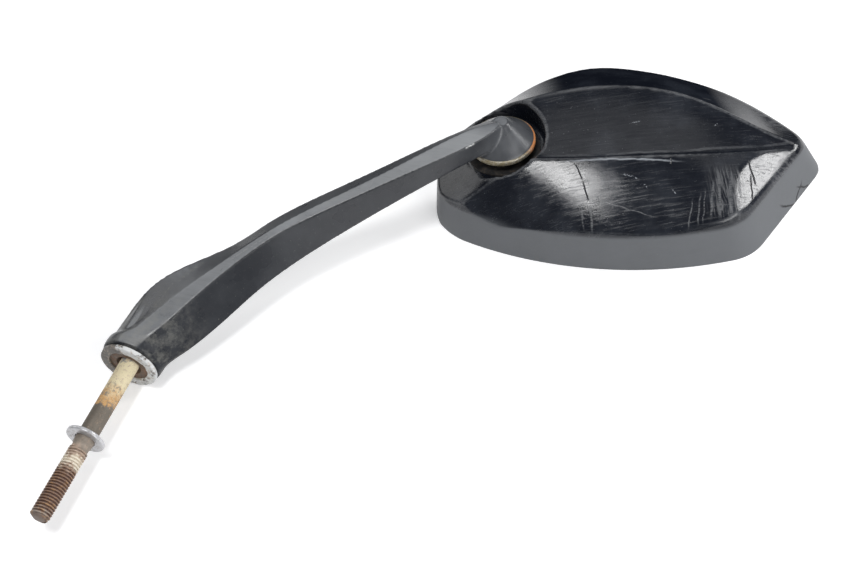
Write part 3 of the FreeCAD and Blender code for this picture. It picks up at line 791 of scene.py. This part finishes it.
def addThread(mesh):
    # a closed ridge wound from the tip to the run-out, growing at both ends
    s = studShape
    turns = (s["threadEnd"] - s["tip"] - 2 * s["flank"]) / s["pitch"]
    steps = round(turns * s["steps"])
    root = s["core"] - s["bedding"]
    start = s["tip"] + s["flank"]
    verts = [mesh.verts.new((radius * mm, (start + along) * mm, 0)) for radius, along in (
        (root, -s["flank"]), (s["crest"], -s["flat"]), (s["crest"], s["flat"]), (root, s["flank"]),
    )]
    edges = [mesh.edges.new((verts[i], verts[(i + 1) % 4])) for i in range(4)]
    first = mesh.faces.new(verts)
    wound = bmesh.ops.spin(
        mesh, geom=verts + edges, cent=(0, 0, 0), axis=(0, 1, 0), angle=2 * math.pi * turns,
        steps=steps, dvec=(0, turns * s["pitch"] * mm / steps, 0),
    )
    last = [item for item in wound["geom_last"] if isinstance(item, bmesh.types.BMVert)]
    mesh.faces.new(last)
    ridge = set(verts)
    grow = [first]
    while grow:
        face = grow.pop()
        for vert in face.verts:
            for other in vert.link_faces:
                if not other.tag:
                    other.tag = True
                    ridge.update(other.verts)
                    grow.append(other)
    for vert in ridge:
        along = vert.co.y / mm
        radius = math.hypot(vert.co.x, vert.co.z) / mm
        limit = min(
            s["core"] - s["tipSink"] + (along - s["tip"]),
            s["core"] + (s["threadEnd"] - along) * s["runOut"], s["crest"],
        )
        wanted = max(min(radius, limit), root)
        vert.co.x *= wanted / radius
        vert.co.z *= wanted / radius
    bmesh.ops.recalc_face_normals(mesh, faces=mesh.faces)


studColours = {
    "tip": (0.34, 0.28, 0.235),
    "rust": (0.185, 0.100, 0.068),
    "deepRust": (0.085, 0.045, 0.032),
    "chalk": (0.88, 0.80, 0.66),
    "pink": (0.52, 0.38, 0.29),
    "steel": (0.30, 0.255, 0.21),
    "darkSteel": (0.185, 0.160, 0.130),
    "orange": (0.68, 0.38, 0.145),
    "cream": (0.86, 0.75, 0.50),
    "inner": (0.30, 0.29, 0.28),
    "low": -16.0,
    "high": 75.1,
}


def studMaterial():
    material, tree, shader = startMaterial("rustyStud")
    c = studColours
    where = place(tree)
    along = axisOf(tree, where, 1)
    length = c["high"] - c["low"]
    ragged = noise(tree, where, 0.35, 4, 0.6)
    drift = maths(tree, "ADD", along, span(tree, ragged, 0.2, 0.8, -3.2, 3.2))
    share = put(tree, "ShaderNodeMapRange", {
        "Value": drift, "From Min": c["low"], "From Max": c["high"], "To Min": 0.0, "To Max": 1.0,
    }).outputs["Result"]
    stops = [
        (-14.4, c["tip"]), (-12.8, c["rust"]), (5.0, c["rust"]), (6.6, c["pink"]), (7.8, c["chalk"]),
        (11.2, c["chalk"]), (12.4, c["pink"]), (16.5, c["steel"]), (24.0, c["darkSteel"]),
        (35.0, c["darkSteel"]), (36.2, c["orange"]), (46.0, c["cream"]), (56.5, c["cream"]),
        (58.5, c["inner"]),
    ]
    colour = bands(tree, share, [((where - c["low"]) / length, tint) for where, tint in stops])
    blots = noise(tree, where, 0.55, 5, 0.7, 0.6)
    patchy = times(
        tree, span(tree, along, 33.0, 38.0), span(tree, along, 48.5, 43.0), span(tree, blots, 0.50, 0.58),
    )
    crust = times(
        tree, span(tree, along, 34.0, 37.0), span(tree, along, 46.0, 40.0),
        span(tree, noise(tree, where, 0.9, 4, 0.7), 0.52, 0.60),
    )
    flakes = times(
        tree, span(tree, along, 15.0, 20.0), span(tree, along, 40.0, 34.0), span(tree, blots, 0.54, 0.64),
    )
    stains = times(tree, span(tree, along, 43.0, 47.0), span(tree, blots, 0.52, 0.62))
    pits = span(tree, noise(tree, where, 1.9, 4, 0.7), 0.58, 0.68)
    radius = put(tree, "ShaderNodeVectorMath", {
        0: stretched(tree, where, (1, 0, 1)),
    }, operation="LENGTH").outputs["Value"]
    groove = times(tree, span(tree, radius, 3.8, 3.45), span(tree, along, 16.0, 15.0))
    shine = times(tree, span(tree, radius, 3.86, 3.95), span(tree, along, 8.0, 4.0))
    lit = times(tree, span(tree, blots, 0.5, 0.62), span(tree, along, 9.0, 3.0))
    fouled = times(tree, groove, span(tree, along, 9.0, 5.0, 0.18, 0.55))
    colour = layered(tree, colour, [
        (times(tree, patchy, 0.9), c["steel"]),
        (times(tree, crust, 0.8), c["orange"]),
        (times(tree, flakes, 0.35), c["pink"]),
        (times(tree, stains, 0.45), c["pink"]),
        (times(tree, lit, 0.45), c["orange"]),
        (times(tree, pits, 0.45), c["deepRust"]),
        (fouled, c["deepRust"]),
        (times(tree, shine, 0.30), c["pink"]),
    ])
    clean = span(tree, along, 57.0, 59.0)
    steel = times(tree, span(tree, along, 17.0, 20.0), span(tree, along, 36.0, 33.0))
    rough = span(tree, blots, 0.3, 0.7, 0.42, 0.68)
    finish(tree, shader, colour, rough, most(tree, times(tree, steel, 0.35), times(tree, clean, 0.85)))
    relief = maths(tree, "SUBTRACT", noise(tree, where, 2.6, 5, 0.7), times(tree, pits, 0.8))
    relief = maths(tree, "ADD", relief, times(tree, crust, 0.9))
    roughen(tree, shader, relief, 0.55, 0.12)
    return material


dress(makeStud(), studMaterial())
print("stud threaded")


# turned rings: the loose washer and the two corroded rings

def ringMaterial(name, look):
    # a turned ring: its clean tint under a crust that spreads by noise, from one side if it has one
    material, tree, shader = startMaterial(name)
    where = place(tree)
    spread = noise(tree, where, look["patches"], 6, 0.7, 0.5)
    if "side" in look:
        spread = maths(tree, "ADD", spread, span(tree, axisOf(tree, where, 0), *look["side"]))
    crust = span(tree, spread, look["from"], look["to"])
    blush = span(tree, noise(tree, where, look["patches"] * 2.7, 4, 0.65), 0.50, 0.66)
    colour = blendColour(tree, crust, look["clean"], look["crust"])
    colour = blendColour(tree, times(tree, blush, 0.6), colour, look["stain"])
    finish(tree, shader, colour, span(tree, crust, 0, 1, look["gloss"], 0.75), maths(
        tree, "SUBTRACT", look["metal"], times(tree, crust, look["metal"] * 0.7),
    ))
    roughen(tree, shader, maths(tree, "ADD", noise(tree, where, 2.4, 4), crust), 0.4, look["depth"])
    return material


washerLook = {
    "patches": 0.30, "from": 0.55, "to": 0.72, "clean": (0.60, 0.60, 0.62),
    "crust": (0.42, 0.40, 0.36), "stain": (0.36, 0.345, 0.33), "gloss": 0.34, "metal": 0.55,
    "depth": 0.05, "inside": 4.2, "outside": 7.98, "soft": 0.42, "steps": 96,
}


def makeWasher():
    low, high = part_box("flat_washer")
    section = ringProfile(
        washerLook["inside"], washerLook["outside"], low[1] / mm, high[1] / mm, washerLook["soft"],
    )
    mesh = lathe(section, washerLook["steps"])
    return addPiece("softWasher", mesh, "washer", "flat_washer")


dress(makeWasher(), ringMaterial("dullZinc", washerLook))

baseRingLook = {
    "patches": 0.24, "from": 0.46, "to": 0.56, "clean": (0.13, 0.12, 0.11),
    "crust": (0.72, 0.73, 0.73), "stain": (0.40, 0.33, 0.26), "gloss": 0.45, "metal": 0.2,
    "depth": 0.12, "side": (-8.0, 5.0, -0.16, 0.12), "inside": 8.25, "outside": 12.1, "low": 56.0,
    "high": 58.0, "soft": 0.45, "bends": 4, "steps": 120, "longest": 0.9, "cuts": 3,
    "pitCell": 3.2, "pitFractal": (0.8, 2.0, 4), "bite": 0.35, "face": 0.9, "sideBite": 0.6,
}


def sectionOf(look):
    return ringProfile(
        look["inside"], look["outside"], look["low"], look["high"], look["soft"], look["bends"],
    )


def makeBaseRing():
    # the ring's worn section, its front face eaten by corrosion
    look = baseRingLook
    mesh = lathe(sectionOf(look), look["steps"])
    bmesh.ops.subdivide_edges(mesh, edges=[
        edge for edge in mesh.edges if edge.calc_length() > look["longest"] * mm
    ], cuts=look["cuts"], use_grid_fill=True)
    for vert in mesh.verts:
        worn = roughness.fractal(vert.co / (look["pitCell"] * mm), *look["pitFractal"])
        depth = max(0.0, worn) * look["bite"] * mm
        if vert.co.y < (look["low"] + look["face"]) * mm:
            vert.co.y += depth
        radius = math.hypot(vert.co.x, vert.co.z)
        shrink = 1 - look["sideBite"] * depth / radius
        if radius > (look["outside"] - 1) * mm:
            vert.co.x *= shrink
            vert.co.z *= shrink
    bmesh.ops.recalc_face_normals(mesh, faces=mesh.faces)
    return addPiece("corrodedRing", mesh, "arm", "base_ring")


dress(makeBaseRing(), ringMaterial("corrodedRing", baseRingLook))

bushLook = {
    "patches": 0.35, "from": 0.40, "to": 0.60, "clean": (0.12, 0.085, 0.06),
    "crust": (0.22, 0.13, 0.085), "stain": (0.055, 0.038, 0.03), "gloss": 0.5, "metal": 0.3,
    "depth": 0.15,
}
dress(nodes["pivot_bush"], ringMaterial("rustyBush", bushLook))


bossRingLook = {
    "khaki": (0.27, 0.225, 0.135),
    "bright": (0.46, 0.43, 0.36),
    "rust": (0.50, 0.185, 0.055),
    "dark": (0.070, 0.058, 0.040),
    "rustSpot": (126.0, 199.0, 18.0),
    "inside": 4.05,
    "outside": 13.85,
    "low": 17.2,
    "high": 19.7,
    "soft": 0.75,
    "bends": 5,
    "steps": 120,
}


def makeBossRing():
    # the ring under the arm's boss, swollen by rust, turned up to stand on the ball's axis
    look = bossRingLook
    mesh = lathe(sectionOf(look), look["steps"])
    upright = Matrix.Rotation(math.pi / 2, 3, "X")
    bmesh.ops.rotate(mesh, verts=mesh.verts, cent=(0, 0, 0), matrix=upright)
    across, up = headAxes["origin"][:2]
    bmesh.ops.translate(mesh, verts=mesh.verts, vec=(across * mm, up * mm, 0))
    return addPiece("swollenRing", mesh, "arm", "boss_ring")


def bossRingMaterial():
    material, tree, shader = startMaterial("brassedRing")
    look = bossRingLook
    where = place(tree)
    blots = noise(tree, where, 0.4, 5, 0.7)
    fine = noise(tree, where, 1.7, 4, 0.7)
    colour = blendColour(tree, span(tree, blots, 0.40, 0.62), look["khaki"], look["bright"])
    colour = blendColour(tree, times(tree, span(tree, fine, 0.50, 0.66), 0.7), colour, look["dark"])
    rust = times(tree, near(tree, where, look["rustSpot"], 5.5, 7.0), span(tree, fine, 0.34, 0.50))
    colour = blendColour(tree, rust, colour, look["rust"])
    metal = times(tree, span(tree, rust, 1, 0), 0.5)
    finish(tree, shader, colour, span(tree, rust, 0, 1, 0.42, 0.8), metal)
    roughen(tree, shader, maths(tree, "ADD", fine, rust), 0.5, 0.1)
    return material


dress(makeBossRing(), bossRingMaterial())
print("rings dressed")


# what the housing and the arm hold inside

innerLooks = {
    "oiledSteel": {
        "nodes": ["thrust_washer", "disc_springs", "ball_stud", "tension_spring"],
        "clean": (0.52, 0.51, 0.49), "crust": (0.26, 0.19, 0.13), "stain": (0.20, 0.18, 0.15),
        "patches": 0.4, "from": 0.56, "to": 0.70, "gloss": 0.22, "metal": 0.95, "depth": 0.03,
    },
    "platedSteel": {
        "nodes": ["retainer_plate", "retainer_screws", "spring_seat"],
        "clean": (0.60, 0.56, 0.44), "crust": (0.40, 0.36, 0.28), "stain": (0.30, 0.27, 0.22),
        "patches": 0.22, "from": 0.50, "to": 0.72, "gloss": 0.30, "metal": 0.9, "depth": 0.03,
    },
    "bearingNylon": {
        "nodes": ["upper_cup", "lower_cup"],
        "clean": (0.64, 0.62, 0.55), "crust": (0.42, 0.40, 0.34), "stain": (0.16, 0.15, 0.13),
        "patches": 0.35, "from": 0.50, "to": 0.74, "gloss": 0.38, "metal": 0.0, "depth": 0.02,
    },
    "shieldBlack": {
        "nodes": ["socket_shield"],
        "clean": (0.016, 0.016, 0.017), "crust": (0.05, 0.042, 0.034), "stain": (0.075, 0.055, 0.040),
        "patches": 0.3, "from": 0.48, "to": 0.70, "gloss": 0.55, "metal": 0.1, "depth": 0.08,
    },
    "carrierBlack": {
        "nodes": ["glass_carrier"],
        "clean": (0.020, 0.020, 0.021), "crust": (0.035, 0.035, 0.036), "stain": (0.055, 0.055, 0.056),
        "patches": 0.12, "from": 0.40, "to": 0.72, "gloss": 0.45, "metal": 0.0, "depth": 0.05,
    },
    "foamGrey": {
        "nodes": ["glass_pad"],
        "clean": (0.13, 0.13, 0.135), "crust": (0.20, 0.20, 0.20), "stain": (0.08, 0.08, 0.082),
        "patches": 0.9, "from": 0.42, "to": 0.62, "gloss": 0.8, "metal": 0.0, "depth": 0.25,
    },
    "rimRubber": {
        "nodes": ["rim_seal"],
        "clean": (0.013, 0.013, 0.014), "crust": (0.032, 0.032, 0.033), "stain": (0.060, 0.058, 0.054),
        "patches": 0.16, "from": 0.44, "to": 0.70, "gloss": 0.5, "metal": 0.0, "depth": 0.05,
    },
}
for name, look in innerLooks.items():
    shared = ringMaterial(name, look)
    for node in look["nodes"]:
        dress(nodes[node], shared)


glassLook = {
    "silver": (0.86, 0.88, 0.89),
    "spots": (0.55, 0.56, 0.56),
    "gloss": 0.015,
}


def glassMaterial():
    # silvered glass under water marks and a few fine hairlines
    material, tree, shader = startMaterial("silveredGlass")
    where = place(tree, **headAxes)
    film = span(tree, noise(tree, where, 0.05, 5, 0.65), 0.45, 0.75)
    drops = span(tree, noise(tree, where, 0.7, 3, 0.6), 0.68, 0.76)
    lines = noise(tree, stretched(tree, where, (0.02, 1.0, 1.0), 20), 1.4, 2, 0.5)
    lines = span(tree, lines, 0.72, 0.78)
    colour = blendColour(tree, times(tree, drops, 0.5), glassLook["silver"], glassLook["spots"])
    rough = maths(tree, "ADD", times(tree, film, 0.06), glassLook["gloss"])
    rough = most(tree, rough, times(tree, drops, 0.3), times(tree, lines, 0.12))
    finish(tree, shader, colour, rough, 1.0)
    roughen(tree, shader, drops, 0.08, 0.01)
    return material


dress(nodes["mirror_glass"], glassMaterial())
print("inner pieces and glass dressed")


# floor, backdrop and light

stageSetup = {
    "floor": 3.0,
    "floorColour": 0.86,
    "floorGlow": 0.42,
    "skyStrength": 0.16,
}


def buildStage():
    mesh = bmesh.new()
    bmesh.ops.create_grid(mesh, x_segments=1, y_segments=1, size=stageSetup["floor"])
    bmesh.ops.translate(mesh, verts=mesh.verts, vec=(0, 0, cadLow[2]))
    data = bpy.data.meshes.new("floor")
    mesh.to_mesh(data)
    mesh.free()
    floor = bpy.data.objects.new("floor", data)
    scene.collection.objects.link(floor)
    material, tree, shader = startMaterial("palePaper")
    grey = stageSetup["floorColour"]
    shader.inputs["Base Color"].default_value = (grey, grey, grey * 1.01, 1)
    shader.inputs["Roughness"].default_value = 0.9
    shader.inputs["Specular IOR Level"].default_value = 0.1
    path = put(tree, "ShaderNodeLightPath")
    seen = most(
        tree, path.outputs["Is Camera Ray"], path.outputs["Is Glossy Ray"],
        path.outputs["Is Transmission Ray"],
    )
    glow = put(tree, "ShaderNodeEmission", {
        "Color": (1, 1, 1, 1), "Strength": stageSetup["floorGlow"],
    })
    both = put(tree, "ShaderNodeAddShader", {0: shader.outputs[0], 1: glow.outputs[0]})
    pick = put(tree, "ShaderNodeMixShader", {0: seen, 1: shader.outputs[0], 2: both.outputs[0]})
    # from below the floor is clear, so that the glass side can be seen
    under = put(tree, "ShaderNodeNewGeometry").outputs["Backfacing"]
    clear = put(tree, "ShaderNodeBsdfTransparent")
    oneSided = put(tree, "ShaderNodeMixShader", {0: under, 1: pick.outputs[0], 2: clear.outputs[0]})
    tree.links.new(oneSided.outputs[0], tree.nodes["Material Output"].inputs["Surface"])
    dress(floor, material)
    world = bpy.data.worlds.new("studio")
    scene.world = world
    world.use_nodes = True
    back = world.node_tree.nodes["Background"]
    back.inputs["Color"].default_value = (0.93, 0.96, 1.0, 1)
    back.inputs["Strength"].default_value = stageSetup["skyStrength"]


# each lamp: its place, what it is aimed at, its size in metres and its power
lamps = [
    {
        "name": "keySoftbox", "place": (0.09, -0.20, 1.27), "aim": (0.155, 0.18, 0.02),
        "size": (0.24, 0.42), "power": 6.8,
    },
    {
        "name": "rightSoftbox", "place": (1.03, 0.76, 0.66), "aim": (0.22, 0.21, 0.0),
        "size": (0.26, 0.26), "power": 4.0,
    },
    {
        "name": "frontFill", "place": (1.22, -0.39, 0.55), "aim": (0.12, 0.15, 0.0),
        "size": (0.9, 0.6), "power": 8.0,
    },
    {
        "name": "ceiling", "place": (-0.20, 1.15, 1.55), "aim": (0.15, 0.20, 0.0),
        "size": (2.0, 1.1), "power": 4.6,
    },
    {
        "name": "leftSoftbox", "place": (-1.0, 0.50, 0.62), "aim": (0.10, 0.18, 0.0),
        "size": (0.7, 0.5), "power": 1.8,
    },
]


def addLamp(setup):
    data = bpy.data.lights.new(setup["name"], "AREA")
    data.shape = "RECTANGLE"
    data.size, data.size_y = setup["size"]
    data.energy = setup["power"]
    lamp = bpy.data.objects.new(setup["name"], data)
    lamp.location = setup["place"]
    way = Vector(setup["aim"]) - Vector(setup["place"])
    lamp.rotation_euler = way.to_track_quat("-Z", "Y").to_euler()
    scene.collection.objects.link(lamp)


buildStage()
for setup in lamps:
    addLamp(setup)
print("stage and lamps placed")
